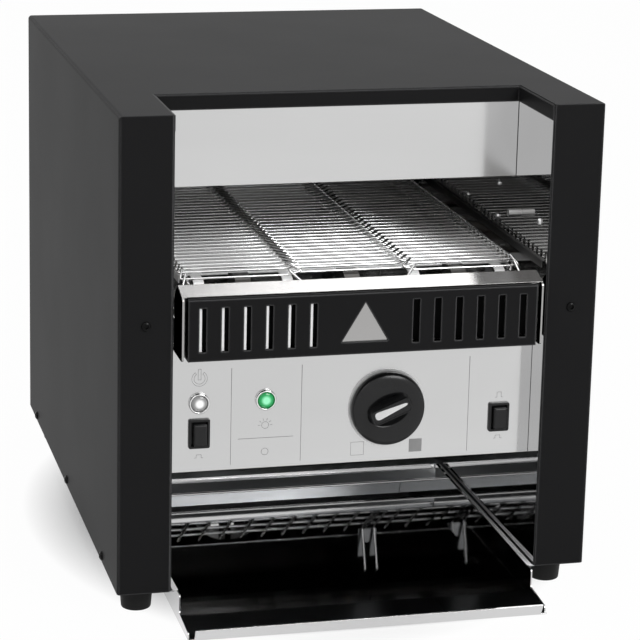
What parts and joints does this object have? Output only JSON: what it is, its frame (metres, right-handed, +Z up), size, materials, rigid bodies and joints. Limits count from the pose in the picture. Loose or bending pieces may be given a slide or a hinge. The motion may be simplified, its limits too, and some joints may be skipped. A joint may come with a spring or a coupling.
{
  "type": "conveyor toaster",
  "caption": "Countertop conveyor toaster: black sheet casing, ladder wire belt under a hood, slotted guard, steel control panel with knob and buttons, and a pull-out toast tray.",
  "frame": {"origin": "middle of the whole footprint, tray lip and rear gland included, on the surface the feet stand on", "axes": "+Z up, front with the controls faces -Y, +X to the right seen from the front"},
  "size_m": [0.372, 0.534, 0.3865],
  "materials": {
    "black_powder": "fine textured black powder coat",
    "satin_steel": "fine satin stainless",
    "mirror_steel": "bright annealed stainless",
    "belt_wire": "bright drawn stainless wire",
    "galvanised": "plain galvanised sheet",
    "turned_steel": "turned steel",
    "bronze": "sintered bronze",
    "quartz": "milky quartz",
    "ceramic": "unglazed white ceramic",
    "black_rubber": "matt black rubber",
    "bezel_chrome": "polished chrome",
    "white_lens": "frosted clear lens",
    "green_lens": "green lens, lit",
    "black_plastic": "fine matt black moulding",
    "knob_black": "semi-gloss black moulding",
    "pointer_metal": "bright inlay",
    "black_screw": "blackened steel",
    "steel_screw": "zinc plated steel",
    "motor_grey": "cast gearbox and grey can",
    "circuit_green": "circuit board"
  },
  "bodies": {
    "toaster": {"outer_casing": "black_powder", "rear_panel": "black_powder", "base_frame": "galvanised", "inner_wall_right": "mirror_steel", "inner_wall_left": "mirror_steel", "hood_panel": "satin_steel", "control_panel": "satin_steel", "control_box": "galvanised", "guard_cover": "black_powder", "guard_frame": "satin_steel", "bed_plate": "mirror_steel", "wire_belt": "belt_wire", "shaft_bushes": "bronze", "gearmotor": "motor_grey", "upper_heaters": "quartz", "lower_heaters": "quartz", "heater_holders": "ceramic", "upper_reflector": "mirror_steel", "lower_reflector": "mirror_steel", "rear_chute": "mirror_steel", "wire_slide": "belt_wire", "stop_wires": "belt_wire", "slide_bracket": "satin_steel", "lamp_bezels": "bezel_chrome", "white_lens": "white_lens", "green_lens": "green_lens", "button_bezels": "black_plastic", "knob_ring": "satin_steel", "browning_regulator": "black_plastic", "fan_frame": "black_plastic", "cord_gland": "black_plastic", "terminal_block": "black_plastic", "control_board": "circuit_green", "side_screws": "black_screw", "pillar_screws": "black_screw", "rear_screws": "black_screw", "wall_screws": "steel_screw", "feed_sensors": "steel_screw", "front_left_foot": "black_rubber", "front_right_foot": "black_rubber", "rear_left_foot": "black_rubber", "rear_right_foot": "black_rubber"},
    "tray": {"toast_tray": "mirror_steel"},
    "knob": {"knob": "knob_black", "knob_pointer": "pointer_metal", "knob_spindle": "turned_steel"},
    "power_button": {"power_button_cap": "black_plastic"},
    "mode_button": {"mode_button_cap": "black_plastic"},
    "drive": {"drive_shaft": "turned_steel", "drive_sprockets": "turned_steel"},
    "idler": {"idler_shaft": "turned_steel", "idler_rollers": "turned_steel"},
    "fan": {"fan_rotor": "black_plastic"}
  },
  "joints": [
    {"name": "tray_slide", "type": "slide", "parent": "toaster", "child": "tray", "axis": [0, -1, 0], "range_m": [0, 0.2]},
    {"name": "knob_turn", "type": "hinge", "parent": "toaster", "child": "knob", "pos_m": [0.028, -0.1922, 0.15], "axis": [0, -1, 0], "range_deg": [-67, 203]},
    {"name": "power_button_push", "type": "slide", "parent": "toaster", "child": "power_button", "axis": [0, 1, 0], "range_m": [0, 0.003], "stiffness_N_per_m": 250},
    {"name": "mode_button_push", "type": "slide", "parent": "toaster", "child": "mode_button", "axis": [0, 1, 0], "range_m": [0, 0.003], "stiffness_N_per_m": 250},
    {"name": "drive_turn", "type": "hinge", "parent": "toaster", "child": "drive", "pos_m": [0, 0.1654, 0.23869], "axis": [-1, 0, 0], "continuous": true, "deforming": ["wire_belt"]},
    {"name": "idler_turn", "type": "hinge", "parent": "toaster", "child": "idler", "pos_m": [0, -0.1746, 0.23869], "axis": [-1, 0, 0], "continuous": true},
    {"name": "fan_spin", "type": "hinge", "parent": "toaster", "child": "fan", "pos_m": [0, 0.238, 0.08], "axis": [0, 1, 0], "continuous": true}
  ],
  "couplings": [
    {"joint": "idler_turn", "follows": "drive_turn", "ratio": 1}
  ]
}
